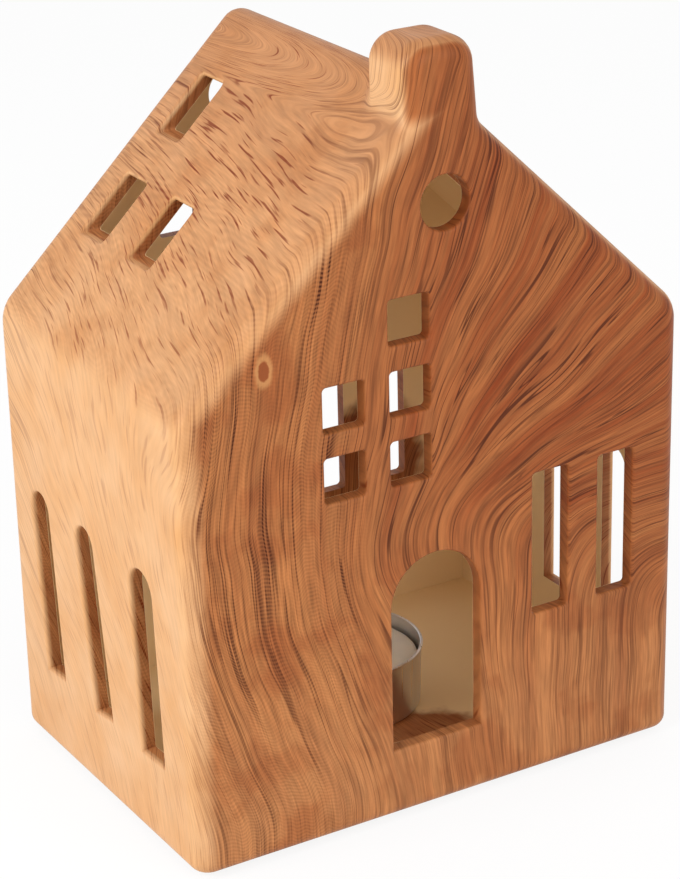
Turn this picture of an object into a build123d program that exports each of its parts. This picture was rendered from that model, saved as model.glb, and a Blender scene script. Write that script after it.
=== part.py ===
"""Ceramic house with cut-out windows, and the tealight that stands in it.

Millimetres, +Z up. The origin is on the table, under the middle of the house. The front, with the door
and the chimney, faces -Y. Heights on the house are measured from its own underside.
"""
import os
from math import atan2, cos, sin, tan

from build123d import *

# House shell
house_width = 130.0
house_depth = 90.0
eave_height = 109.0
ridge_height = 171.7
wall = 3.5
floor_height = 6.5
eave_round = 9.0
ridge_round = 5.0
inner_eave_round = 3.0
inner_ridge_round = 1.5
face_round = 4.7
base_round = 3.2
foot_ring_width = 16.0
foot_recess = 2.5
window_corner = 0.9
window_edge = 0.8
cut_overrun = 2.0

# Chimney, flush with the front, its right side leaning out towards the foot
chimney_left = 8.5
chimney_right = 9.7
chimney_lean = 1.6
chimney_depth = 17.3
chimney_rise = 8.4
chimney_top_round = 6.2
chimney_corner_round = 4.0
chimney_foot_round = 5.0
flue_top_round = 1.5
chimney_root_share = 0.8

# Windows of the front, and of the back, where they lie further left
pane_width = 10.4
pane_height = 10.5
pane_columns = (-25.0, -8.2)
back_pane_columns = (-33.0, -16.2)
pane_drops_from_eave = (21.3, 5.0)
attic_pane_x = -8.4
attic_pane_rise_share = 0.183
back_attic_pane_x = -18.1
back_attic_pane_rise_share = 0.222
round_window_diameter = 12.4
round_window_x = 1.2
round_window_rise_share = 0.572
back_round_window_x = -2.5
back_round_window_rise_share = 0.654
tall_slot_width = 9.8
tall_slot_length = 35.2
tall_slot_height = 59.0
tall_slot_columns = (28.9, 47.0)
back_tall_slot_columns = (21.0, 38.9)

# Front door, and the arch in the back wall that the tealight goes in by
door_width = 23.6
door_x = -2.1
door_sill = 17.2
door_top = 64.0
arch_clearance = 1.6
arch_top = 46.0

# Side wall slots, those on the left cut by hand with a lean in degrees, and roof windows, alike on both slopes
side_slot_sill = 21.6
side_slot_top = 67.4
left_slot_places = (-24.8, -0.4, 24.5)
left_slot_widths = (10.6, 8.6, 8.8)
left_slot_leans = (3.1, 7.6, 4.8)
right_slot_places = (-24.5, -0.2, 24.5)
right_slot_width = 9.1
roof_window_width = 10.4
roof_window_length = 16.4
lower_roof_window_places = (6.4, 28.8)
lower_roof_window_climb = 32.5
upper_roof_window_places = (29.2,)
upper_roof_window_climb = 61.3

# Felt pads
pad_diameter = 10.0
pad_thickness = 1.0

# Tealight
cup_diameter = 38.0
cup_height = 16.0
cup_wall = 0.3
cup_taper = 0.4
rim_bead = 0.4
wax_clearance = 0.3
wax_height = 12.5
wax_edge_round = 0.8
sustainer_diameter = 15.0
sustainer_thickness = 0.3
neck_diameter = 3.2
neck_height = 3.5
wick_diameter = 1.8
wick_standing = 7.0
candle_clearance = 0.1

# Places that follow from these sizes
base_z = pad_thickness
floor_z = base_z + floor_height
front_y = -house_depth / 2
back_y = house_depth / 2
roof_rise = ridge_height - eave_height
roof_pitch = atan2(roof_rise, house_width / 2)
pad_inset = (base_round + foot_ring_width) / 2


def gable(eaves, ridge, inset=0, bottom=0):
    """The house's front outline moved inwards by inset, with its eaves and ridge rounded."""
    half = house_width / 2 - inset
    top = ridge_height - inset / cos(roof_pitch)
    shoulder = top - half * tan(roof_pitch)
    corners = [(-half, bottom), (half, bottom), (half, shoulder), (0, top), (-half, shoulder)]
    sheet = make_face(Polyline(*corners, close=True))
    sheet = fillet(sheet.vertices().sort_by(Axis.Y)[2:4], eaves)
    return fillet(sheet.vertices().sort_by(Axis.Y)[-1], ridge)


def chimney_outline(crown, inset=0):
    """The chimney's front outline moved inwards by inset, its crown rounded and its root sunk in the roof."""
    left = inset - chimney_left
    right = chimney_right - inset
    top = ridge_height + chimney_rise - inset
    roof_beside = ridge_height - (right + chimney_lean) * tan(roof_pitch)
    sunk = 1 + chimney_root_share
    root = top - (top - roof_beside) * sunk
    corners = [(left, root), (left, top), (right, top), (right + chimney_lean * sunk, root)]
    sheet = make_face(Polyline(*corners, close=True))
    return fillet(sheet.vertices().sort_by(Axis.Y)[-2:], crown)


def arched(width, bottom, top):
    """A flat-silled opening with a half-round head, standing on the sketch's middle line."""
    half = width / 2
    spring = top - half
    sides = Polyline((-half, spring), (-half, bottom), (half, bottom), (half, spring))
    return make_face(sides + ThreePointArc((half, spring), (0, top), (-half, spring)))


def along_depth(sketch, start, end):
    """Extrudes a front-view sketch from depth start to depth end."""
    view = Plane(origin=(0, end, base_z), x_dir=(1, 0, 0), z_dir=(0, -1, 0))
    return extrude(view * sketch, amount=end - start)


def outer_house():
    """The solid outer form, with the chimney grown out of the roof and every outer edge rounded."""
    chimney = along_depth(chimney_outline(chimney_top_round), front_y, front_y + chimney_depth)
    rear = chimney.faces().sort_by(Axis.Y)[-1]
    chimney = fillet(rear.edges().sort_by(Axis.Z)[1:], chimney_corner_round)
    body = along_depth(gable(eave_round, ridge_round), front_y, back_y)
    house = body + chimney
    house = fillet(new_edges(body, chimney, combined=house), chimney_foot_round)
    for end in (0, -1):
        face = house.faces().sort_by(Axis.Y)[end]
        house = fillet(face.edges().sort_by(Axis.Z)[1:], face_round)
    underside = house.faces().sort_by(Axis.Z)[0]
    return fillet(underside.edges(), base_round)


def hollow():
    """The space inside the walls, the roof and the chimney, down to the inner floor."""
    room_outline = gable(inner_eave_round, inner_ridge_round, wall, floor_height)
    rooms = along_depth(room_outline, front_y + wall, back_y - wall)
    flue_outline = chimney_outline(flue_top_round, wall)
    flue = along_depth(flue_outline, front_y + wall, front_y + chimney_depth - wall)
    return rooms + flue


def window_outlines(panes, attic, round_window, slots):
    """The windows of one gable wall: attic and round window by x and height, the others by their columns."""
    pane = RectangleRounded(pane_width, pane_height, window_corner)
    slot = RectangleRounded(tall_slot_width, tall_slot_length, window_corner)
    outlines = [Pos(x, eave_height - drop) * pane for x in panes for drop in pane_drops_from_eave]
    outlines.append(Pos(*attic) * pane)
    outlines.append(Pos(*round_window) * Circle(round_window_diameter / 2))
    outlines.extend(Pos(x, tall_slot_height) * slot for x in slots)
    return outlines


def gable_windows():
    """Cutters for the windows of the front wall and of the back wall."""
    attic = (attic_pane_x, eave_height + roof_rise * attic_pane_rise_share)
    rose = (round_window_x, eave_height + roof_rise * round_window_rise_share)
    front = window_outlines(pane_columns, attic, rose, tall_slot_columns)
    attic = (back_attic_pane_x, eave_height + roof_rise * back_attic_pane_rise_share)
    rose = (back_round_window_x, eave_height + roof_rise * back_round_window_rise_share)
    back = window_outlines(back_pane_columns, attic, rose, back_tall_slot_columns)
    reach = wall + cut_overrun
    cutters = [along_depth(outline, front_y - cut_overrun, front_y + reach) for outline in front]
    cutters.extend(along_depth(outline, back_y - reach, back_y + cut_overrun) for outline in back)
    return cutters


def doorways():
    """Cutters for the front door and for the back arch, which is level with the inner floor."""
    door = Pos(door_x, 0) * arched(door_width, door_sill, door_top)
    arch = arched(cup_diameter + arch_clearance * 2, floor_height, arch_top)
    reach = wall + cut_overrun
    return [
        along_depth(door, front_y - cut_overrun, front_y + reach),
        along_depth(arch, back_y - reach, back_y + cut_overrun),
    ]


def side_slots():
    """Cutters for the arched slots of the left wall, which lean, and of the right wall, which don't."""
    outside = house_width / 2 + cut_overrun
    reach = wall + cut_overrun * 2
    rise = side_slot_top - side_slot_sill
    cutters = []
    for y, width, lean in zip(left_slot_places, left_slot_widths, left_slot_leans):
        view = Plane(origin=(-outside, y, base_z + side_slot_sill), x_dir=(0, 1, 0), z_dir=(1, 0, 0))
        cutters.append(extrude(view * Rot(0, 0, -lean) * arched(width, 0, rise), amount=reach))
    for y in right_slot_places:
        view = Plane(origin=(outside, y, base_z + side_slot_sill), x_dir=(0, -1, 0), z_dir=(-1, 0, 0))
        cutters.append(extrude(view * arched(right_slot_width, 0, rise), amount=reach))
    return cutters


def roof_windows():
    """Level cutters through each roof slope, as a mould half pulls, placed by their climb from the eave."""
    pane = RectangleRounded(roof_window_width, roof_window_length * sin(roof_pitch), window_corner)
    places = [(y, lower_roof_window_climb) for y in lower_roof_window_places]
    places.extend((y, upper_roof_window_climb) for y in upper_roof_window_places)
    cutters = []
    for side in (-1, 1):
        for y, climb in places:
            height = base_z + eave_height + climb * sin(roof_pitch)
            low = climb - roof_window_length / 2
            outside = house_width / 2 - low * cos(roof_pitch) + cut_overrun
            reach = roof_window_length * cos(roof_pitch) + wall / sin(roof_pitch) + cut_overrun * 2
            view = Plane(origin=(side * outside, y, height), x_dir=(0, -side, 0), z_dir=(-side, 0, 0))
            cutters.append(extrude(view * pane, amount=reach))
    return cutters


def softened(shell):
    """Rounds the outer edge of every opening, as glaze and print do."""
    middle = shell.center()
    holed = [face for face in shell.faces().filter_by(GeomType.PLANE) if face.inner_wires()]
    outer = [face for face in holed if face.normal_at().dot(face.center() - middle) > 0]
    rims = [edge for face in outer for wire in face.inner_wires() for edge in wire.edges()]
    return fillet(rims, window_edge)


def house_shell():
    """The one-piece ceramic house: outer form, hollow, openings and the foot ring it stands on."""
    openings = gable_windows() + doorways() + side_slots() + roof_windows()
    width = house_width - foot_ring_width * 2
    depth = house_depth - foot_ring_width * 2
    recess = extrude(Pos(0, 0, base_z) * RectangleRounded(width, depth, eave_round), amount=foot_recess)
    return softened(outer_house() - hollow() - openings) - recess


def felt_pads():
    """Round pads under the corners of the foot ring."""
    pads = {}
    for row, y in (("front", front_y + pad_inset), ("rear", back_y - pad_inset)):
        for side, sign in (("left", -1), ("right", 1)):
            place = Pos(sign * (house_width / 2 - pad_inset), y)
            pads[f"felt_pad_{row}_{side}"] = extrude(place * Circle(pad_diameter / 2), amount=pad_thickness)
    return pads


def turned(points):
    """A solid of revolution about the tealight's axis from (radius, height above the floor) points."""
    section = make_face(Polyline(*points, close=True))
    return revolve(Plane(origin=(0, 0, floor_z), x_dir=(1, 0, 0), z_dir=(0, -1, 0)) * section, Axis.Z)


def tealight():
    """The drawn metal cup, the wax slug in it, and the wick with the sustainer that holds it up."""
    top_radius = cup_diameter / 2 - rim_bead
    foot_radius = top_radius - cup_taper
    cup = turned(
        [
            (0, 0),
            (foot_radius, 0),
            (top_radius, cup_height - rim_bead),
            (top_radius + rim_bead, cup_height - rim_bead),
            (top_radius + rim_bead, cup_height),
            (top_radius - cup_wall, cup_height),
            (foot_radius - cup_wall, cup_wall),
            (0, cup_wall),
        ]
    )
    wick_hole = wick_diameter / 2 + candle_clearance
    neck_hole = neck_diameter / 2 + candle_clearance
    disc_hole = sustainer_diameter / 2 + candle_clearance
    disc_top = cup_wall + sustainer_thickness
    neck_top = disc_top + neck_height
    wax_foot = foot_radius - cup_wall - wax_clearance
    wax_top = cup_wall + wax_height
    wax = turned(
        [
            (disc_hole, cup_wall),
            (wax_foot, cup_wall),
            (wax_foot, wax_top),
            (wick_hole, wax_top),
            (wick_hole, neck_top + candle_clearance),
            (neck_hole, neck_top + candle_clearance),
            (neck_hole, disc_top + candle_clearance),
            (disc_hole, disc_top + candle_clearance),
        ]
    )
    crest = wax.faces().sort_by(Axis.Z)[-1].edges().sort_by(SortBy.RADIUS)[-1]
    wax = fillet(crest, wax_edge_round)
    sustainer = turned(
        [
            (0, cup_wall),
            (sustainer_diameter / 2, cup_wall),
            (sustainer_diameter / 2, disc_top),
            (neck_diameter / 2, disc_top),
            (neck_diameter / 2, neck_top),
            (wick_hole, neck_top),
            (wick_hole, disc_top),
            (0, disc_top),
        ]
    )
    wick_length = wax_top + wick_standing - disc_top
    wick = Pos(0, 0, floor_z + disc_top) * extrude(Circle(wick_diameter / 2), amount=wick_length)
    return {
        "tealight_cup": cup,
        "tealight_wax": wax,
        "wick_sustainer": sustainer,
        "tealight_wick": wick,
    }


def main():
    """Builds every piece and writes one file for each."""
    os.makedirs("parts", exist_ok=True)
    pieces = {"house_shell": house_shell()} | felt_pads() | tealight()
    for name, piece in pieces.items():
        export_step(piece, f"parts/{name}.step")


if __name__ == "__main__":
    main()
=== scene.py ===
"""Finishes the ceramic tealight house: its wood-grain print, its tealight, its felt pads and a stage."""
import math

import bmesh
import bpy
from mathutils import Matrix, Vector


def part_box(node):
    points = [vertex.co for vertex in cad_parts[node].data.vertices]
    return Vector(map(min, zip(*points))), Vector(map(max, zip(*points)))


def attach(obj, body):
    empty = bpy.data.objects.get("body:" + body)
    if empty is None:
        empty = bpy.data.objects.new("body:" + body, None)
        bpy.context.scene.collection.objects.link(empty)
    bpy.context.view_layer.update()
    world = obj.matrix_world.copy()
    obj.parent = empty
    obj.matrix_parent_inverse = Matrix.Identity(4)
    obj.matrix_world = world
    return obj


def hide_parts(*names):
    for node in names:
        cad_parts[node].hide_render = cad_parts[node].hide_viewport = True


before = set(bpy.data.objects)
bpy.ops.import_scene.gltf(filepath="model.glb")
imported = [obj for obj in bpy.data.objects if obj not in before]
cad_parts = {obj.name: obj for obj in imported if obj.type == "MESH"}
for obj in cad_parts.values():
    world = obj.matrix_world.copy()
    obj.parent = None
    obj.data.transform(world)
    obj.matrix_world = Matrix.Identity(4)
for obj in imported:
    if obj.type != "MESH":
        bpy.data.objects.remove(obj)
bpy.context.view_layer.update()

bl_info = {
    "name": "Tealight House",
    "version": (1, 0, 0),
    "blender": (4, 5, 0),
    "location": "View3D > Sidebar > Tealight House",
    "description": "Finishes a printed ceramic tealight house, its tealight, felt pads and studio stage",
    "category": "Object",
}

# Kinds of node. A range takes its value at 0, what it reads from at 1 and 2, and what it gives at 3 and 4.
# A mix takes its share at 0, two numbers at 2 and 3, or two colours at 6 and 7.
BUMP = "ShaderNodeBump"
MATH = "ShaderNodeMath"
MIX = "ShaderNodeMix"
NOISE = "ShaderNodeTexNoise"
RANGE = "ShaderNodeMapRange"
SURFACE = "ShaderNodeBsdfPrincipled"
VECTOR = "ShaderNodeVectorMath"
SMOOTH = {"interpolation_type": "SMOOTHSTEP"}
WHITE = (1, 1, 1, 1)
MM = 0.001

# Photograph's camera, in pixels, and the sensor's width in mm
PHOTO_WIDTH = 680
PHOTO_HEIGHT = 879
PHOTO_FOCAL = 2786
PHOTO_AXIS = (340.1, 442.1)
SENSOR_WIDTH = 36.0

# House, in mm: its outside, its wall, the height where the roof slopes meet, and how steeply they fall
HALF_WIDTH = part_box("house_shell")[1].x / MM
HALF_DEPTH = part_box("house_shell")[1].y / MM
WALL = 3.5
RIDGE = 172.7
ROOF_RATE = 0.9646
ROOF_COSINE = 0.72

# Places that the print follows, in mm
CHIMNEY_FOOT = (0.6, -37.5, 168.0)
KNOT = (-44.4, -45.0, 117.6)
DOORSTEP = (4.0, -33.0, 7.5)
BACK_SLOTS = (33.0, 41.5, 48.0)

# How much of the front's colour the upper roof takes
ROOF_SHARE = 0.52


def linear(hex_code):
    """Turns an sRGB hex code into linear red, green, blue and alpha."""
    shares = [int(hex_code[i:i + 2], 16) / 255 for i in (1, 3, 5)]
    return [s / 12.92 if s <= 0.04045 else ((s + 0.055) / 1.055) ** 2.4 for s in shares] + [1.0]


def colour(label, hex_code, description):
    """A colour setting with its sRGB default."""
    return bpy.props.FloatVectorProperty(
        name=label,
        description=description,
        default=linear(hex_code),
        size=4,
        min=0,
        max=1,
        subtype="COLOR",
    )


def length(label, millimetres, description):
    """A length setting whose default is given in millimetres."""
    return bpy.props.FloatProperty(
        name=label,
        description=description,
        default=millimetres * MM,
        min=0,
        precision=5,
        unit="LENGTH",
    )


def angle(label, degrees, description):
    """An angle setting whose default is given in degrees."""
    return bpy.props.FloatProperty(
        name=label,
        description=description,
        default=math.radians(degrees),
        subtype="ANGLE",
    )


def power(label, watts, description):
    """A lamp's power in watts."""
    return bpy.props.FloatProperty(name=label, description=description, default=watts, min=0, unit="POWER")


class PrintSettings(bpy.types.PropertyGroup):
    """The wood-grain transfer print and the glaze under it."""

    # The side tones are paler and the front tones darker than the print alone: partly the print's own colour,
    # partly painted light and shade, the sides lit and the front shaded as if by the left lamp
    pale: colour("Pale side grain", "#d9ae83", "Lightest tone of the side walls and the roof")
    tan: colour("Tan side grain", "#cd945c", "Darkest broad tone of the side walls and the roof")
    amber: colour("Amber front grain", "#bc7b47", "Lightest tone of the front and the back")
    brown: colour("Brown front grain", "#9c6138", "Darker broad tone of the front and the back")
    russet: colour("Russet streak", "#7f330f", "Broad streaks, and strokes on the sides and the roof")
    dark: colour("Dark line", "#421604", "Thin late-wood lines")
    inside: colour("Inner glaze", "#fadcac", "Plain glaze on the inside")
    foot: colour("Foot", "#d9c3a2", "Bare biscuit under the foot")
    streak_width: length("Streak width", 6, "Mean width of a broad streak")
    line_spacing: length("Line spacing", 1.6, "Mean distance between two grain lines")
    fibre_width: length("Fibre width", 0.45, "Width of the finest fibres")
    ripple_pitch: length("Ripple pitch", 0.9, "Distance between two ripples across the grain")


class TealightSettings(bpy.types.PropertyGroup):
    """The tealight's metal, wax and cotton, and the felt of the pads."""

    metal: colour("Aluminium", "#dcdcde", "Bright rolled aluminium of the cup")
    tin: colour("Tinned steel", "#c4c3bf", "Wick sustainer")
    wax: colour("Wax", "#f1ece0", "Paraffin wax")
    cotton: colour("Cotton", "#e9e1cf", "Waxed wick")
    felt: colour("Felt", "#6a4c36", "Pads under the foot")
    steps: bpy.props.IntProperty(
        name="Turning steps",
        description="Sides of a turned piece",
        default=96,
        min=12,
    )


class StageSettings(bpy.types.PropertyGroup):
    """The floor, the light and the camera."""

    azimuth: angle("Azimuth", -30.522, "Camera's turn from the front")
    elevation: angle("Elevation", 22.823, "Camera's height above level")
    roll: angle("Roll", -1.418, "Camera's tilt about its own axis")
    camera_place: bpy.props.FloatVectorProperty(
        name="Camera",
        description="Camera's place",
        default=(-0.30526, -0.51809, 0.32853),
        subtype="TRANSLATION",
    )
    floor: colour("Floor", "#f4f4f4", "Plain pale floor")
    key_power: power("Key", 4.6, "Left lamp")
    fill_power: power("Fill", 3.0, "Front lamp")
    sky: bpy.props.FloatProperty(name="Sky", description="Strength of the even light", default=0.8, min=0)


def add(tree, kind, inputs, output=0, **settings):
    """Adds a node, sets its settings, links or fills its inputs by name or number, and gives one output."""
    node = tree.nodes.new(kind)
    for name, value in settings.items():
        setattr(node, name, value)
    for key, value in inputs.items():
        if isinstance(value, bpy.types.NodeSocket):
            tree.links.new(value, node.inputs[key])
        else:
            node.inputs[key].default_value = value
    return node.outputs[output]


def new_material(name):
    """An empty node material, its tree and its output's surface socket."""
    material = bpy.data.materials.new(name)
    material.use_nodes = True
    material.node_tree.nodes.clear()
    output = material.node_tree.nodes.new("ShaderNodeOutputMaterial")
    return material, material.node_tree, output.inputs["Surface"]


def place_in_mm(tree):
    """The surface point in millimetres, whole and split into x, y and z."""
    point = add(tree, "ShaderNodeTexCoord", {}, "Object")
    point = add(tree, VECTOR, {0: point, "Scale": 1 / MM}, operation="SCALE")
    split = tree.nodes.new("ShaderNodeSeparateXYZ")
    tree.links.new(point, split.inputs[0])
    return point, *split.outputs


def grain_across(tree, point, x, y, z):
    """A value in mm that grows across the grain and stays the same along each grain line, and its stretch.

    On the front the lines rise with a bulge to the left and fan out to the right above the door; they turn
    the corners without a break, fall slanting over the side walls and run front to back on the roof. The
    stretch says how many times further apart two lines lie in the fan than at the foot.
    """
    bulge_reach = 17.0
    lean_rate = 0.2
    lean_blend = 30.0
    left = add(tree, RANGE, {0: x, 1: 36.0, 2: -32.0}, **SMOOTH)
    bulge = add(tree, RANGE, {0: z, 1: 2.0, 2: 72.0, 4: bulge_reach}, **SMOOTH)
    above = add(tree, MATH, {0: z, 1: 95.0}, operation="SUBTRACT")
    above = add(tree, MATH, {0: above, 1: 0.0, 2: lean_blend}, operation="SMOOTH_MAX")
    across = add(tree, MATH, {0: left, 1: bulge, 2: x}, operation="MULTIPLY_ADD")
    across = add(tree, MATH, {0: above, 1: -lean_rate, 2: across}, operation="MULTIPLY_ADD")

    fan_tilt = 0.55
    fan_height = 84.0
    fan_radius = 14.0
    fan_blend = 24.0
    right = add(tree, MATH, {0: x, 1: 0.0}, operation="MAXIMUM")
    climb = add(tree, MATH, {0: right, 1: fan_tilt, 2: z}, operation="MULTIPLY_ADD")
    climb = add(tree, MATH, {0: climb, 1: fan_height}, operation="SUBTRACT")
    climb = add(tree, MATH, {0: climb, 1: 0.0, 2: fan_blend}, operation="SMOOTH_MAX")
    spread = add(tree, MATH, {0: climb, 1: fan_radius}, operation="ADD")
    spread = add(tree, MATH, {0: climb, 1: spread}, operation="DIVIDE")
    fan = add(tree, MATH, {0: across, 1: 0.0, 2: fan_blend}, operation="SMOOTH_MAX")
    fan = add(tree, MATH, {0: fan, 1: spread}, operation="MULTIPLY")
    inner = add(tree, RANGE, {0: across, 1: -8.0, 2: 14.0}, **SMOOTH)
    across = add(tree, MATH, {0: across, 1: fan}, operation="SUBTRACT")
    stretch = add(tree, MATH, {0: climb, 1: inner}, operation="MULTIPLY")
    stretch = add(tree, MATH, {0: stretch, 1: 1 / fan_radius, 2: 1.0}, operation="MULTIPLY_ADD")

    turn_at_foot = 1.0
    turn_at_eave = 0.32
    turn_on_chimney = 0.12
    depth = add(tree, MATH, {0: y, 1: HALF_DEPTH}, operation="ADD")
    turn = add(tree, RANGE, {0: z, 1: 0.0, 2: 109.0, 3: turn_at_foot, 4: turn_at_eave})
    turn = add(tree, MATH, {0: turn, 1: depth}, operation="MULTIPLY")
    turn = add(tree, MATH, {0: turn, 1: 1 / HALF_WIDTH}, operation="MULTIPLY")
    chimney = add(tree, RANGE, {0: z, 1: 160.0, 2: 172.0}, **SMOOTH)
    chimney = add(tree, MATH, {0: chimney, 1: depth}, operation="MULTIPLY")
    turn = add(tree, MATH, {0: chimney, 1: turn_on_chimney, 2: turn}, operation="MULTIPLY_ADD")
    across = add(tree, MATH, {0: turn, 1: x, 2: across}, operation="MULTIPLY_ADD")

    swirl_lift = 2.5
    wander_size = 34.0
    wander_reach = 3.5
    swirl = add(tree, VECTOR, {0: point, 1: CHIMNEY_FOOT}, 1, operation="DISTANCE")
    swirl = add(tree, RANGE, {0: swirl, 1: 34.0, 2: 4.0, 4: swirl_lift}, **SMOOTH)
    behind = add(tree, RANGE, {0: depth, 1: 1.0, 2: 12.0}, **SMOOTH)
    swirl = add(tree, MATH, {0: swirl, 1: behind}, operation="MULTIPLY")
    wander = add(tree, NOISE, {"Vector": point, "Scale": 1 / wander_size, "Detail": 1.0})
    wander = add(tree, RANGE, {0: wander, 3: -wander_reach, 4: wander_reach})
    wander = add(tree, MATH, {0: wander, 1: swirl}, operation="ADD")
    wander = add(tree, MATH, {0: wander, 1: stretch}, operation="DIVIDE")
    across = add(tree, MATH, {0: across, 1: wander}, operation="ADD")
    return across, stretch


def streaks(tree, point, grain, width, run, detail, rough=0.5):
    """Noise that changes over width across the grain and over run along it, both in mm.

    Where the grain is stretched, new streaks grow between the old ones: the noise is read at the two
    nearest doublings of the stretch and blended, with the contrast that blending takes given back.
    """
    across, stretch = grain
    level = add(tree, MATH, {0: stretch, 1: 2.0}, operation="LOGARITHM")
    share = add(tree, MATH, {0: level}, operation="FRACT")
    level = add(tree, MATH, {0: level}, operation="FLOOR")
    level = add(tree, MATH, {0: 2.0, 1: level}, operation="POWER")
    weave = add(tree, MATH, {0: across, 1: run / width}, operation="MULTIPLY")
    weave = add(tree, MATH, {0: weave, 1: level}, operation="MULTIPLY")
    twice = add(tree, MATH, {0: weave, 1: 2.0}, operation="MULTIPLY")
    inputs = {"Vector": point, "Scale": 1 / run, "Detail": detail, "Roughness": rough}
    coarse = add(tree, NOISE, {**inputs, "W": weave}, noise_dimensions="4D")
    fine = add(tree, NOISE, {**inputs, "W": twice}, noise_dimensions="4D")
    blend = add(tree, MIX, {0: share, 2: coarse, 3: fine})
    rest = add(tree, MATH, {0: 1.0, 1: share}, operation="SUBTRACT")
    rest = add(tree, MATH, {0: rest, 1: share}, operation="MULTIPLY")
    gain = add(tree, MATH, {0: rest, 1: -2.0, 2: 1.0}, operation="MULTIPLY_ADD")
    gain = add(tree, MATH, {0: gain, 1: -0.5}, operation="POWER")
    blend = add(tree, MATH, {0: blend, 1: 0.5}, operation="SUBTRACT")
    return add(tree, MATH, {0: blend, 1: gain, 2: 0.5}, operation="MULTIPLY_ADD")


def shell_depth(tree, x, y, z):
    """How far the point lies under the outside: from the side walls, the end walls and the roof, in mm."""
    wide = add(tree, MATH, {0: x}, operation="ABSOLUTE")
    deep = add(tree, MATH, {0: y}, operation="ABSOLUTE")
    from_side = add(tree, MATH, {0: HALF_WIDTH, 1: wide}, operation="SUBTRACT")
    from_end = add(tree, MATH, {0: HALF_DEPTH, 1: deep}, operation="SUBTRACT")
    from_roof = add(tree, MATH, {0: wide, 1: -ROOF_RATE, 2: RIDGE}, operation="MULTIPLY_ADD")
    from_roof = add(tree, MATH, {0: from_roof, 1: z}, operation="SUBTRACT")
    from_roof = add(tree, MATH, {0: from_roof, 1: ROOF_COSINE}, operation="MULTIPLY")
    return from_side, from_end, from_roof


def inside_mask(tree, point, z, depths):
    """One on the inner faces, and none on the outside and in the reveals.

    The print also runs over a little of the inside, behind the door and around the back slots.
    """
    from_side, from_end, from_roof = depths
    underside = 2.0
    shallow = add(tree, MATH, {0: from_side, 1: from_end}, operation="MINIMUM")
    shallow = add(tree, MATH, {0: shallow, 1: from_roof}, operation="MINIMUM")
    from_floor = add(tree, MATH, {0: z, 1: underside}, operation="SUBTRACT")
    shallow = add(tree, MATH, {0: shallow, 1: from_floor}, operation="MINIMUM")
    inside = add(tree, RANGE, {0: shallow, 1: WALL - 0.1, 2: WALL - 0.03}, **SMOOTH)
    ragged_reach = 8.0
    ragged = add(tree, NOISE, {"Vector": point, "Scale": 1 / 6.0, "Detail": 2.0})
    for place, full, end in ((DOORSTEP, 21.0, 25.0), (BACK_SLOTS, 18.0, 24.0)):
        patch = add(tree, VECTOR, {0: point, 1: place}, 1, operation="DISTANCE")
        patch = add(tree, MATH, {0: ragged, 1: ragged_reach, 2: patch}, operation="MULTIPLY_ADD")
        patch = add(tree, RANGE, {0: patch, 1: full, 2: end}, **SMOOTH)
        inside = add(tree, MATH, {0: inside, 1: patch}, operation="MULTIPLY")
    return inside


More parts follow.
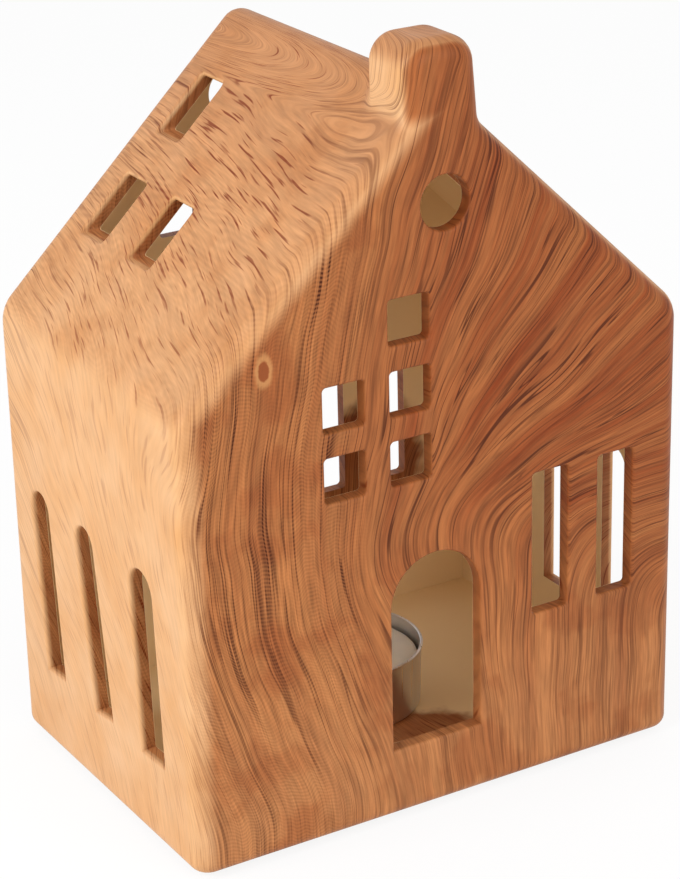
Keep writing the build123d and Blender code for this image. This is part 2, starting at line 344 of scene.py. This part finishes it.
def gable_masks(tree, point, x, y, z, depths):
    """How much of the front's colour shows, and how much of its long lines.

    The colour is full on the front, the back and the window reveals there, less on the roof, in the other
    reveals and along the left edge of the front, and none on the side walls; the paler left edge is a painted
    highlight where the left lamp catches the rounded edge. The lines also turn the edges of the front and the
    back, run around the foot of the chimney and over the rear of the roof and the sides.
    """
    from_side, from_end, from_roof = depths
    normal = add(tree, "ShaderNodeTexCoord", {}, "Normal")
    split = tree.nodes.new("ShaderNodeSeparateXYZ")
    tree.links.new(normal, split.inputs[0])
    facing = add(tree, MATH, {0: split.outputs[1]}, operation="ABSOLUTE")
    facing = add(tree, RANGE, {0: facing, 1: 0.4, 2: 0.8}, **SMOOTH)
    near = add(tree, RANGE, {0: from_end, 1: 14.0, 2: 6.0}, **SMOOTH)
    facing = add(tree, MATH, {0: facing, 1: near}, operation="MULTIPLY")

    # Painted highlight: paler along the rounded left edge of the front, where the left lamp falls, up to the
    # chimney; also a little paler towards the foot
    lit_edge_share = 0.25
    foot_share = 0.86
    slope = add(tree, MATH, {0: x, 1: ROOF_RATE, 2: RIDGE}, operation="MULTIPLY_ADD")
    slope = add(tree, MATH, {0: slope, 1: z}, operation="SUBTRACT")
    slope = add(tree, MATH, {0: slope, 1: ROOF_COSINE}, operation="MULTIPLY")
    edge = add(tree, MATH, {0: x, 1: HALF_WIDTH}, operation="ADD")
    edge = add(tree, MATH, {0: edge, 1: slope}, operation="MINIMUM")
    chimney = add(tree, MATH, {0: z, 1: RIDGE - 12.0}, operation="SUBTRACT")
    edge = add(tree, MATH, {0: edge, 1: chimney}, operation="MAXIMUM")
    # The paler left edge is a painted highlight, and the long lines fade there with it
    edge = add(tree, RANGE, {0: edge, 1: 2.0, 2: 6.0, 3: lit_edge_share, 4: 1.0}, **SMOOTH)
    low = add(tree, RANGE, {0: z, 1: 5.0, 2: 60.0, 3: foot_share, 4: 1.0}, **SMOOTH)
    edge = add(tree, MATH, {0: edge, 1: low}, operation="MULTIPLY")
    tinted = add(tree, MATH, {0: facing, 1: edge}, operation="MULTIPLY")

    # Reveals of the front and the back
    sunk = add(tree, MATH, {0: from_side, 1: from_roof}, operation="MINIMUM")
    reveal = add(tree, RANGE, {0: from_end, 1: 6.0, 2: 4.0}, **SMOOTH)
    inner = add(tree, RANGE, {0: sunk, 1: 1.0, 2: 5.0}, **SMOOTH)
    reveal = add(tree, MATH, {0: reveal, 1: inner}, operation="MULTIPLY")
    reveal = add(tree, MATH, {0: reveal, 1: edge}, operation="MULTIPLY")
    gable = add(tree, MATH, {0: tinted, 1: reveal}, operation="MAXIMUM")

    # Roof, more towards the ridge
    eave_share = 0.28
    roof = add(tree, RANGE, {0: split.outputs[2], 1: 0.0, 2: 0.65}, **SMOOTH)
    share = add(tree, RANGE, {0: z, 1: 110.0, 2: 150.0, 3: eave_share, 4: ROOF_SHARE})
    share = add(tree, MATH, {0: roof, 1: share}, operation="MULTIPLY")
    gable = add(tree, MATH, {0: gable, 1: share}, operation="MAXIMUM")

    # Reveals of the roof and the side walls, away from the rounded ends and the ridge
    reveal_share = 0.9
    sunk = add(tree, RANGE, {0: sunk, 1: 0.8, 2: 1.6, 4: reveal_share}, **SMOOTH)
    away = add(tree, RANGE, {0: from_end, 1: 4.0, 2: 8.0}, **SMOOTH)
    below = add(tree, RANGE, {0: z, 1: RIDGE - 7.0, 2: RIDGE - 14.0}, **SMOOTH)
    sunk = add(tree, MATH, {0: sunk, 1: away}, operation="MULTIPLY")
    sunk = add(tree, MATH, {0: sunk, 1: below}, operation="MULTIPLY")
    gable = add(tree, MATH, {0: gable, 1: sunk}, operation="MAXIMUM")

    # Long lines
    chimney_lines = 0.75
    edge_lines = 0.7
    rear_lines = 0.5
    around = add(tree, RANGE, {0: from_end, 1: 13.0, 2: 3.0, 4: edge_lines}, **SMOOTH)
    around = add(tree, MATH, {0: around, 1: roof}, operation="MULTIPLY")
    foot = add(tree, VECTOR, {0: point, 1: CHIMNEY_FOOT}, 1, operation="DISTANCE")
    foot = add(tree, RANGE, {0: foot, 1: 36.0, 2: 18.0, 4: chimney_lines}, **SMOOTH)
    rear = add(tree, RANGE, {0: y, 1: 14.0, 2: 40.0, 4: rear_lines}, **SMOOTH)
    edge = add(tree, MATH, {0: edge, 1: 0.6, 2: 0.4}, operation="MULTIPLY_ADD")
    lined = add(tree, MATH, {0: facing, 1: edge}, operation="MULTIPLY")
    for other in (around, foot, rear):
        lined = add(tree, MATH, {0: lined, 1: other}, operation="MAXIMUM")
    return gable, lined


def broad_tones(tree, point, x, z, grain, gable, sizes):
    """The film's broad colours: pale on the sides and the roof, amber to russet on the front and the back;
    the gap between the pale sides and the darker front is partly print and partly painted light and shade.
    """
    run = 160.0
    broad = sizes.streak_width / MM
    tone = streaks(tree, point, grain, broad, run, detail=3.0, rough=0.6)
    tone = add(tree, RANGE, {0: tone, 1: 0.3, 2: 0.7})
    cloud = add(tree, NOISE, {"Vector": point, "Scale": 1 / 16.0, "Detail": 4.0})
    soft = add(tree, RANGE, {0: cloud, 1: 0.2, 2: 0.8})
    soft = add(tree, MIX, {0: 0.2, 2: soft, 3: tone})
    # Side and front palettes: partly the print's own tones, partly painted light, the sides paler as if lit
    # by the left lamp and the front darker as if in shade
    side = add(tree, MIX, {0: soft, 6: list(sizes.pale), 7: list(sizes.tan)}, 2, data_type="RGBA")
    front = add(tree, MIX, {0: tone, 6: list(sizes.amber), 7: list(sizes.brown)}, 2, data_type="RGBA")
    body = add(tree, MIX, {0: gable, 6: side, 7: front}, 2, data_type="RGBA")

    # Russet streaks, most of them high on the right of the front
    red = streaks(tree, point, grain, broad / 2, run, detail=3.0, rough=0.62)
    red = add(tree, RANGE, {0: red, 1: 0.42, 2: 0.74})
    right = add(tree, RANGE, {0: x, 1: -40.0, 2: 10.0, 3: 0.2, 4: 1.0}, **SMOOTH)
    high = add(tree, RANGE, {0: z, 1: 30.0, 2: 85.0, 3: 0.35, 4: 1.0}, **SMOOTH)
    right = add(tree, MATH, {0: right, 1: high}, operation="MULTIPLY")
    right = add(tree, MATH, {0: right, 1: gable}, operation="MULTIPLY")
    least = add(tree, RANGE, {0: right, 4: 0.5})
    most = add(tree, RANGE, {0: right, 3: 0.3, 4: 0.95})
    most = add(tree, MATH, {0: most, 1: gable}, operation="MULTIPLY")
    red = add(tree, MIX, {0: red, 2: least, 3: most})
    mottle = add(tree, RANGE, {0: cloud, 1: 0.4, 2: 0.66, 4: 0.5}, **SMOOTH)
    mottle = add(tree, MATH, {0: mottle, 1: gable}, operation="MULTIPLY")
    red = add(tree, MATH, {0: red, 1: mottle}, operation="MAXIMUM")
    return add(tree, MIX, {0: red, 6: body, 7: list(sizes.russet)}, 2, data_type="RGBA")


def grain_lines(tree, point, z, grain, gable, lined, sizes):
    """Thin dark lines: long and close on the front and the back, short strokes on the roof and the sides."""
    spacing = sizes.line_spacing / MM
    line_run = 120.0
    weight_width = 3.0
    weight_run = 40.0
    lines = streaks(tree, point, grain, spacing, line_run, detail=1.0)
    lines = add(tree, MATH, {0: lines, 1: 0.5}, operation="SUBTRACT")
    lines = add(tree, MATH, {0: lines}, operation="ABSOLUTE")
    lines = add(tree, RANGE, {0: lines, 1: 0.03, 2: 0.008}, **SMOOTH)
    weight = streaks(tree, point, grain, weight_width, weight_run, detail=1.0)
    weight = add(tree, RANGE, {0: weight, 1: 0.32, 2: 0.6, 3: 0.1, 4: 0.88}, **SMOOTH)
    lines = add(tree, MATH, {0: lines, 1: weight}, operation="MULTIPLY")
    hair_run = 60.0
    hairs = streaks(tree, point, grain, spacing / 3, hair_run, detail=1.0)
    hairs = add(tree, RANGE, {0: hairs, 1: 0.56, 2: 0.66, 4: 0.45}, **SMOOTH)
    lines = add(tree, MATH, {0: lines, 1: hairs}, operation="MAXIMUM")
    calm = add(tree, RANGE, {0: z, 1: 10.0, 2: 95.0, 3: 0.6, 4: 1.0}, **SMOOTH)
    lines = add(tree, MATH, {0: lines, 1: calm}, operation="MULTIPLY")
    stroke_width = 0.45
    stroke_run = 11.0
    strokes = streaks(tree, point, grain, stroke_width, stroke_run, detail=1.0)
    strokes = add(tree, RANGE, {0: strokes, 1: 0.58, 2: 0.68}, **SMOOTH)
    weight = add(tree, RANGE, {0: gable, 1: 0.0, 2: ROOF_SHARE, 3: 0.26, 4: 0.95})
    strokes = add(tree, MATH, {0: strokes, 1: weight}, operation="MULTIPLY")
    return add(tree, MIX, {0: lined, 2: strokes, 3: lines})


def ladder_ripple(tree, point, x, z, grain, gable, sizes):
    """Fine arched rungs across the grain, strongest on the left of the front; between -1 and 1."""
    arch_width = 4.5
    arch_run = 50.0
    arch_rise = 9.0
    patch_width = 6.0
    patch_run = 60.0
    arch = streaks(tree, point, grain, arch_width, arch_run, detail=1.0)
    arch = add(tree, MATH, {0: arch, 1: arch_rise, 2: z}, operation="MULTIPLY_ADD")
    ripple = add(tree, MATH, {0: arch, 1: 2 * math.pi * MM / sizes.ripple_pitch}, operation="MULTIPLY")
    ripple = add(tree, MATH, {0: ripple}, operation="SINE")
    left = add(tree, RANGE, {0: x, 1: -14.0, 2: -32.0}, **SMOOTH)
    patch = streaks(tree, point, grain, patch_width, patch_run, detail=1.0)
    patch = add(tree, RANGE, {0: patch, 1: 0.35, 2: 0.65, 3: 0.25, 4: 1.0}, **SMOOTH)
    band = add(tree, MATH, {0: left, 1: patch}, operation="MULTIPLY")
    band = add(tree, MATH, {0: band, 1: gable}, operation="MULTIPLY")
    return add(tree, MATH, {0: ripple, 1: band}, operation="MULTIPLY")


def knot(tree, point, skin, sizes):
    """A small red-brown knot in a pale halo, high on the left of the front."""
    tall = (1.0, 0.3, 0.55)
    ragged_reach = 0.8
    spot = add(tree, VECTOR, {0: point, 1: KNOT}, operation="SUBTRACT")
    spot = add(tree, VECTOR, {0: spot, 1: tall}, operation="MULTIPLY")
    spot = add(tree, VECTOR, {0: spot}, 1, operation="LENGTH")
    ragged = add(tree, NOISE, {"Vector": point, "Scale": 1 / 1.5, "Detail": 2.0})
    spot = add(tree, MATH, {0: ragged, 1: ragged_reach, 2: spot}, operation="MULTIPLY_ADD")
    halo = add(tree, RANGE, {0: spot, 1: 3.0, 2: 2.0, 4: 0.6}, **SMOOTH)
    skin = add(tree, MIX, {0: halo, 6: skin, 7: list(sizes.tan)}, 2, data_type="RGBA")
    core = add(tree, RANGE, {0: spot, 1: 1.9, 2: 1.5, 4: 0.8}, **SMOOTH)
    return add(tree, MIX, {0: core, 6: skin, 7: list(sizes.russet)}, 2, data_type="RGBA")


def bare_foot(tree, z):
    """One on the flat underside, which stands bare."""
    down = add(tree, "ShaderNodeTexCoord", {}, "Normal")
    down = add(tree, "ShaderNodeSeparateXYZ", {0: down}, 2)
    down = add(tree, RANGE, {0: down, 1: -0.9, 2: -0.98}, **SMOOTH)
    low = add(tree, RANGE, {0: z, 1: 4.0, 2: 3.8}, **SMOOTH)
    return add(tree, MATH, {0: low, 1: down}, operation="MULTIPLY")


def printed_ceramic(sizes):
    """Slip-cast ceramic under a satin water-transfer print of wood grain, with a plain glaze inside.

    To the eye it is smooth and faintly glossy: the grain is colour, and its relief only that of a thin film.
    """
    material, tree, surface = new_material("slip_cast_ceramic_wood_grain_print")
    point, x, y, z = place_in_mm(tree)
    grain = grain_across(tree, point, x, y, z)
    depths = shell_depth(tree, x, y, z)
    gable, lined = gable_masks(tree, point, x, y, z, depths)

    fibre_run = 8.0
    body = broad_tones(tree, point, x, z, grain, gable, sizes)
    ripple = ladder_ripple(tree, point, x, z, grain, gable, sizes)
    fibre = streaks(tree, point, grain, sizes.fibre_width / MM, fibre_run, detail=2.0)
    fibre = add(tree, RANGE, {0: fibre, 1: 0.3, 2: 0.7, 3: 0.74, 4: 1.24})
    even = add(tree, RANGE, {0: gable, 3: 0.3, 4: 1.0})
    fibre = add(tree, MIX, {0: even, 2: 1.0, 3: fibre})
    shade = add(tree, MATH, {0: ripple, 1: 0.13, 2: fibre}, operation="MULTIPLY_ADD")
    body = add(tree, VECTOR, {0: body, "Scale": shade}, operation="SCALE")

    lines = grain_lines(tree, point, z, grain, gable, lined, sizes)
    gap = add(tree, MATH, {0: ripple, 1: -0.35, 2: 0.95}, operation="MULTIPLY_ADD")
    lines = add(tree, MATH, {0: lines, 1: gap}, operation="MULTIPLY", use_clamp=True)
    deep = add(tree, RANGE, {0: lined, 3: 0.2, 4: 1.0})
    ink = add(tree, MIX, {0: deep, 6: list(sizes.russet), 7: list(sizes.dark)}, 2, data_type="RGBA")
    skin = add(tree, MIX, {0: lines, 6: body, 7: ink}, 2, data_type="RGBA")
    skin = knot(tree, point, skin, sizes)

    inside = inside_mask(tree, point, z, depths)
    under = bare_foot(tree, z)
    skin = add(tree, MIX, {0: inside, 6: skin, 7: list(sizes.inside)}, 2, data_type="RGBA")
    skin = add(tree, MIX, {0: under, 6: skin, 7: list(sizes.foot)}, 2, data_type="RGBA")

    cloud = add(tree, NOISE, {"Vector": point, "Scale": 1 / 7.0, "Detail": 3.0})
    film = add(tree, MATH, {0: lines, 1: -0.35, 2: cloud}, operation="MULTIPLY_ADD")
    finish = {
        "Base Color": skin,
        "Roughness": add(tree, RANGE, {0: cloud, 1: 0.2, 2: 0.8, 3: 0.36, 4: 0.5}),
        "Normal": add(tree, BUMP, {"Strength": 0.18, "Distance": 0.12 * MM, "Height": film}),
        "Specular IOR Level": 0.14,
    }
    tree.links.new(add(tree, SURFACE, finish), surface)
    return material


class HOUSE_OT_ceramic(bpy.types.Operator):
    """Gives the house its printed and glazed finish"""

    bl_idname = "tealight_house.ceramic"
    bl_label = "Print the ceramic"

    def execute(self, context):
        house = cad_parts["house_shell"]
        house.data.materials.clear()
        house.data.materials.append(printed_ceramic(context.scene.house_print))
        return {"FINISHED"}


def turned(name, profile, steps, centre=(0, 0)):
    """A mesh object spun about a vertical axis from (radius, height) points in mm."""
    mesh = bmesh.new()
    points = [mesh.verts.new((radius * MM, 0, height * MM)) for radius, height in profile]
    sides = [mesh.edges.new(pair) for pair in zip(points, points[1:])]
    bmesh.ops.spin(
        mesh,
        geom=points + sides,
        cent=(0, 0, 0),
        axis=(0, 0, 1),
        angle=2 * math.pi,
        steps=steps,
        use_merge=True,
    )
    bmesh.ops.remove_doubles(mesh, verts=mesh.verts, dist=0.002 * MM)
    bmesh.ops.recalc_face_normals(mesh, faces=mesh.faces)
    bmesh.ops.translate(mesh, verts=mesh.verts, vec=(centre[0], centre[1], 0))
    return finished(name, mesh)


def finished(name, mesh):
    """Turns a bmesh into a smooth-shaded object of the scene."""
    sharp_angle = 40
    data = bpy.data.meshes.new(name)
    mesh.to_mesh(data)
    mesh.free()
    data.shade_smooth()
    data.set_sharp_from_angle(angle=math.radians(sharp_angle))
    piece = bpy.data.objects.new(name, data)
    bpy.context.scene.collection.objects.link(piece)
    return piece


def arc(centre, radius, start, end, count):
    """Points on a round stretch of a profile, angles in degrees."""
    angles = [math.radians(start + (end - start) * i / count) for i in range(count + 1)]
    return [(centre[0] + radius * math.cos(a), centre[1] + radius * math.sin(a)) for a in angles]


def rolled_aluminium(sizes):
    """Deep-drawn bright aluminium foil: a mirror that fine draw lines and shallow dents bend."""
    material, tree, surface = new_material("drawn_bright_aluminium")
    point, x, y, z = place_in_mm(tree)
    draw = add(tree, "ShaderNodeCombineXYZ", {0: x, 1: y, 2: 0.0})
    draw = add(tree, NOISE, {"Vector": draw, "Scale": 1 / 1.2, "Detail": 2.0})
    dents = add(tree, NOISE, {"Vector": point, "Scale": 1 / 6.0, "Detail": 1.0})
    height = add(tree, MATH, {0: draw, 1: 0.2, 2: dents}, operation="MULTIPLY_ADD")
    finish = {
        "Base Color": list(sizes.metal),
        "Metallic": 1.0,
        "Roughness": add(tree, RANGE, {0: draw, 1: 0.3, 2: 0.7, 3: 0.26, 4: 0.38}),
        "Normal": add(tree, BUMP, {"Strength": 0.25, "Distance": 0.25 * MM, "Height": height}),
    }
    tree.links.new(add(tree, SURFACE, finish), surface)
    return material


class HOUSE_OT_cup(bpy.types.Operator):
    """Builds the drawn aluminium cup of the tealight"""

    bl_idname = "tealight_house.cup"
    bl_label = "Draw the tealight cup"

    def execute(self, context):
        sizes = context.scene.house_tealight
        low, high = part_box("tealight_cup")
        bottom = low.z / MM
        top = high.z / MM
        rim = high.x / MM
        foil = 0.3
        bead = 0.4
        taper = 0.4
        fold = 1.2
        body = rim - bead
        foot = body - taper
        raised = bottom + 0.5
        raised_edge = foot - 5.0
        raised_foot = foot - 4.2
        profile = [(0, raised), (raised_edge, raised), (raised_foot, bottom)]
        profile += arc((foot - fold, bottom + fold), fold, -90, 0, 6)
        profile += [(body, top - bead * 2)]
        profile += arc((rim - bead, top - bead), bead, -60, 150, 8)
        profile += [(body - foil, top - bead * 2)]
        profile += arc((foot - fold, bottom + fold), fold - foil, 0, -90, 6)
        profile += [(raised_foot, bottom + foil), (raised_edge, raised + foil), (0, raised + foil)]
        cup = turned("tealight_cup_drawn", profile, sizes.steps)
        cup.data.materials.append(rolled_aluminium(sizes))
        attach(cup, "cup")
        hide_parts("tealight_cup")
        return {"FINISHED"}


def paraffin(sizes):
    """Cast paraffin wax: milky, so light goes a little way in, with a soft sheen and a cloudy top."""
    material, tree, surface = new_material("cast_paraffin_wax")
    point = place_in_mm(tree)[0]
    cloud = add(tree, NOISE, {"Vector": point, "Scale": 1 / 4.0, "Detail": 4.0})
    tint = add(tree, RANGE, {0: cloud, 1: 0.3, 2: 0.7, 3: 0.94, 4: 1.0})
    finish = {
        "Base Color": add(tree, VECTOR, {0: list(sizes.wax)[:3], "Scale": tint}, operation="SCALE"),
        "Roughness": add(tree, RANGE, {0: cloud, 1: 0.3, 2: 0.7, 3: 0.35, 4: 0.5}),
        "Normal": add(tree, BUMP, {"Strength": 0.2, "Distance": 0.2 * MM, "Height": cloud}),
        "IOR": 1.44,
        "Subsurface Weight": 0.4,
        "Subsurface Radius": (1.0, 0.8, 0.6),
        "Subsurface Scale": 1.5 * MM,
    }
    tree.links.new(add(tree, SURFACE, finish), surface)
    return material


def braided_cotton(sizes):
    """Braided cotton stiffened with wax: a matt cream yarn with slanting strands and a faint gloss."""
    material, tree, surface = new_material("waxed_braided_cotton")
    point = place_in_mm(tree)[0]
    strand = add(tree, "ShaderNodeTexWave", {"Vector": point, "Scale": 1 / 5.0, "Distortion": 1.5})
    tint = add(tree, RANGE, {0: strand, 3: 0.72, 4: 1.0})
    finish = {
        "Base Color": add(tree, VECTOR, {0: list(sizes.cotton)[:3], "Scale": tint}, operation="SCALE"),
        "Roughness": 0.7,
        "Normal": add(tree, BUMP, {"Strength": 0.5, "Distance": 0.15 * MM, "Height": strand}),
    }
    tree.links.new(add(tree, SURFACE, finish), surface)
    return material


def tinned_steel(sizes):
    """Stamped tin plate: a grey metal with a soft, slightly grained mirror."""
    material, tree, surface = new_material("stamped_tin_plate")
    point = place_in_mm(tree)[0]
    grain = add(tree, NOISE, {"Vector": point, "Scale": 1 / 0.8, "Detail": 3.0})
    finish = {
        "Base Color": list(sizes.tin),
        "Metallic": 1.0,
        "Roughness": add(tree, RANGE, {0: grain, 1: 0.3, 2: 0.7, 3: 0.25, 4: 0.42}),
    }
    tree.links.new(add(tree, SURFACE, finish), surface)
    return material


def cast_wax(sizes, hole):
    """The wax slug: hollow over the sustainer, with a rounded edge and a shallow dish around the wick."""
    low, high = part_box("tealight_wax")
    bottom = low.z / MM
    top = high.z / MM
    edge = high.x / MM
    hollow_radius = 8.0
    hollow_height = 5.0
    chamfer = 0.4
    roundness = 0.8
    dish = 0.5
    rim_width = 2.5
    slope_width = 6.0
    mound_radius = 4.0
    collar_radius = 2.0
    lip = 0.3
    shoulder = top - dish * 0.6
    profile = [(hollow_radius, bottom), (edge - chamfer, bottom), (edge, bottom + chamfer)]
    profile += [(edge, top - roundness - 0.1)]
    profile += arc((edge - roundness, top - roundness), roundness, 0, 90, 6)
    profile += [(edge - rim_width, shoulder), (edge - slope_width, top - dish)]
    profile += [(mound_radius, top - dish), (collar_radius, shoulder)]
    profile += [(hole + lip, top - 0.1), (hole, top - lip), (hole, bottom + hollow_height)]
    return turned("tealight_wax_cast", profile, sizes.steps)


def braid_wick(low, high):
    """The wick: a ring with one lobe for each strand, raised row by row with a twist."""
    strands = 3
    groove = 0.1
    rows = 36
    twist = Matrix.Rotation(math.radians(20), 3, "Z")
    yarn = bmesh.new()
    ring = bmesh.ops.create_circle(yarn, segments=18, radius=high.x)["verts"]
    for i, vertex in enumerate(ring):
        vertex.co *= 1 - groove + groove * math.cos(strands * 2 * math.pi * i / len(ring))
    face = yarn.faces.new(ring)
    bmesh.ops.translate(yarn, verts=ring, vec=(0, 0, low.z))
    rise = (high.z - low.z) / rows
    for _ in range(rows):
        grown = bmesh.ops.extrude_discrete_faces(yarn, faces=[face])
        face = grown["faces"][0]
        bmesh.ops.translate(yarn, verts=face.verts, vec=(0, 0, rise))
        bmesh.ops.rotate(yarn, verts=face.verts, cent=(0, 0, 0), matrix=twist)
    bmesh.ops.recalc_face_normals(yarn, faces=yarn.faces)
    return finished("tealight_wick_braid", yarn)


class HOUSE_OT_candle(bpy.types.Operator):
    """Builds the wax slug, its wick and the sustainer under it"""

    bl_idname = "tealight_house.candle"
    bl_label = "Cast the candle"

    def execute(self, context):
        sizes = context.scene.house_tealight
        low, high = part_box("tealight_wick")
        wick_gap = 0.1
        wax = cast_wax(sizes, high.x / MM + wick_gap)
        wax.data.materials.append(paraffin(sizes))
        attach(wax, "candle")
        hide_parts("tealight_wax")

        braid = braid_wick(low, high)
        braid.data.materials.append(braided_cotton(sizes))
        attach(braid, "candle")
        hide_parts("tealight_wick")

        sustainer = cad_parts["wick_sustainer"]
        sustainer.data.materials.clear()
        sustainer.data.materials.append(tinned_steel(sizes))
        return {"FINISHED"}


def pressed_felt(sizes):
    """Pressed wool felt: matt, with short tangled fibres that leave a cloudy, fuzzy surface."""
    material, tree, surface = new_material("pressed_wool_felt")
    point = place_in_mm(tree)[0]
    fuzz = add(tree, NOISE, {"Vector": point, "Scale": 1 / 0.6, "Detail": 5.0, "Distortion": 1.5})
    tint = add(tree, RANGE, {0: fuzz, 1: 0.3, 2: 0.7, 3: 0.75, 4: 1.15})
    finish = {
        "Base Color": add(tree, VECTOR, {0: list(sizes.felt)[:3], "Scale": tint}, operation="SCALE"),
        "Roughness": 0.95,
        "Normal": add(tree, BUMP, {"Strength": 0.6, "Distance": 0.2 * MM, "Height": fuzz}),
        "Sheen Weight": 0.4,
    }
    tree.links.new(add(tree, SURFACE, finish), surface)
    return material


class HOUSE_OT_pads(bpy.types.Operator):
    """Builds the four felt pads under the foot"""

    bl_idname = "tealight_house.pads"
    bl_label = "Cut the felt pads"

    def execute(self, context):
        sizes = context.scene.house_tealight
        felt = pressed_felt(sizes)
        soft = 0.25
        for name in sorted(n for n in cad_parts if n.startswith("felt_pad")):
            low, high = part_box(name)
            centre = (low + high) / 2
            radius = (high.x - low.x) / 2 / MM
            top = high.z / MM
            profile = [(0, 0.0), (radius - soft, 0.0), (radius, soft), (radius, top - soft)]
            profile += [(radius - soft, top), (0, top)]
            pad = turned(name + "_felt", profile, sizes.steps // 2, centre)
            pad.data.materials.append(felt)
            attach(pad, "house")
            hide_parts(name)
        return {"FINISHED"}


def seen_share(tree):
    """One for what the camera sees, also mirrored or through something clear, and none for stray light."""
    paths = tree.nodes.new("ShaderNodeLightPath").outputs
    seen = add(tree, MATH, {0: paths["Is Camera Ray"], 1: paths["Is Glossy Ray"]}, operation="MAXIMUM")
    return add(tree, MATH, {0: seen, 1: paths["Is Transmission Ray"]}, operation="MAXIMUM")


def studio_floor(sizes):
    """Plain pale studio sheet: matt, shown white to the camera but still taking the object's shadow."""
    white_share = 0.86
    material, tree, surface = new_material("matt_studio_sheet")
    share = add(tree, MATH, {0: seen_share(tree), 1: white_share}, operation="MULTIPLY")
    matt = add(tree, "ShaderNodeBsdfDiffuse", {"Color": list(sizes.floor)})
    white = add(tree, "ShaderNodeEmission", {"Color": WHITE, "Strength": 1.0})
    mixed = add(tree, "ShaderNodeMixShader", {0: share, 1: matt, 2: white})
    tree.links.new(mixed, surface)
    return material


def even_light(sizes):
    """A world that lights evenly from all sides and looks white."""
    world = bpy.data.worlds.new("even_studio_light")
    world.use_nodes = True
    tree = world.node_tree
    tree.nodes.clear()
    even = add(tree, "ShaderNodeBackground", {"Color": WHITE, "Strength": sizes.sky})
    white = add(tree, "ShaderNodeBackground", {"Color": WHITE, "Strength": 1.0})
    mixed = add(tree, "ShaderNodeMixShader", {0: seen_share(tree), 1: even, 2: white})
    output = tree.nodes.new("ShaderNodeOutputWorld")
    tree.links.new(mixed, output.inputs["Surface"])
    return world


def lamp(name, place, aim, size, watts):
    """A soft square lamp at a place, turned to its aim."""
    data = bpy.data.lights.new(name, "AREA")
    data.shape = "SQUARE"
    data.size = size
    data.energy = watts
    light = bpy.data.objects.new(name, data)
    light.location = place
    light.rotation_euler = (Vector(aim) - Vector(place)).to_track_quat("-Z", "Y").to_euler()
    bpy.context.scene.collection.objects.link(light)


def photo_camera(sizes):
    """The photograph's camera, from its place, its angles and its focal length in pixels."""
    level = math.cos(sizes.elevation)
    back = Vector(
        (math.sin(sizes.azimuth) * level, -math.cos(sizes.azimuth) * level, math.sin(sizes.elevation))
    )
    right = Vector((0, 0, 1)).cross(back).normalized()
    up = back.cross(right)
    rolled_right = right * math.cos(sizes.roll) + up * math.sin(sizes.roll)
    rolled_up = up * math.cos(sizes.roll) - right * math.sin(sizes.roll)
    place = Matrix((rolled_right, rolled_up, back)).transposed().to_4x4()
    place.translation = sizes.camera_place
    data = bpy.data.cameras.new("photo_camera")
    data.sensor_fit = "HORIZONTAL"
    data.sensor_width = SENSOR_WIDTH
    data.lens = SENSOR_WIDTH * PHOTO_FOCAL / PHOTO_WIDTH
    data.shift_x = (PHOTO_WIDTH / 2 - PHOTO_AXIS[0]) / PHOTO_WIDTH
    data.shift_y = (PHOTO_AXIS[1] - PHOTO_HEIGHT / 2) / PHOTO_WIDTH
    camera = bpy.data.objects.new("photo_camera", data)
    camera.matrix_world = place
    bpy.context.scene.collection.objects.link(camera)
    return camera


class HOUSE_OT_stage(bpy.types.Operator):
    """Sets up the floor, the lamps, the even light and the camera"""

    bl_idname = "tealight_house.stage"
    bl_label = "Set the stage"

    def execute(self, context):
        scene = context.scene
        sizes = scene.house_stage
        sheet_half = 4.0
        sheet = bmesh.new()
        bmesh.ops.create_grid(sheet, x_segments=1, y_segments=1, size=sheet_half)
        floor = finished("studio_floor", sheet)
        floor.data.materials.append(studio_floor(sizes))

        middle = (0, 0, 0.08)
        lamp("key_lamp", place=(-0.75, -0.1, 0.55), aim=middle, size=0.5, watts=sizes.key_power)
        lamp("fill_lamp", place=(0.15, -0.9, 0.5), aim=middle, size=0.6, watts=sizes.fill_power)
        scene.world = even_light(sizes)
        scene.camera = photo_camera(sizes)
        scene.view_settings.view_transform = "Standard"
        return {"FINISHED"}


class HOUSE_PT_sidebar(bpy.types.Panel):
    """Lists the house's settings and the steps that build it"""

    bl_label = "Tealight House"
    bl_idname = "HOUSE_PT_sidebar"
    bl_space_type = "VIEW_3D"
    bl_region_type = "UI"
    bl_category = "Tealight House"

    def draw(self, context):
        for group in (context.scene.house_print, context.scene.house_tealight, context.scene.house_stage):
            box = self.layout.box()
            for name in group.__annotations__:
                box.prop(group, name)
        for step in STEPS:
            self.layout.operator(step.bl_idname)


GROUPS = {"house_print": PrintSettings, "house_tealight": TealightSettings, "house_stage": StageSettings}
STEPS = (HOUSE_OT_ceramic, HOUSE_OT_cup, HOUSE_OT_candle, HOUSE_OT_pads, HOUSE_OT_stage)


def register():
    """Registers the settings, the steps and the sidebar."""
    for cls in (*GROUPS.values(), *STEPS, HOUSE_PT_sidebar):
        bpy.utils.register_class(cls)
    for name, group in GROUPS.items():
        setattr(bpy.types.Scene, name, bpy.props.PointerProperty(type=group))


def unregister():
    """Removes what register added."""
    for name in GROUPS:
        delattr(bpy.types.Scene, name)
    for cls in reversed((*GROUPS.values(), *STEPS, HOUSE_PT_sidebar)):
        bpy.utils.unregister_class(cls)


def main():
    """Builds every piece and the stage."""
    register()
    bpy.ops.tealight_house.ceramic()
    bpy.ops.tealight_house.cup()
    bpy.ops.tealight_house.candle()
    bpy.ops.tealight_house.pads()
    bpy.ops.tealight_house.stage()


if __name__ == "__main__":
    main()
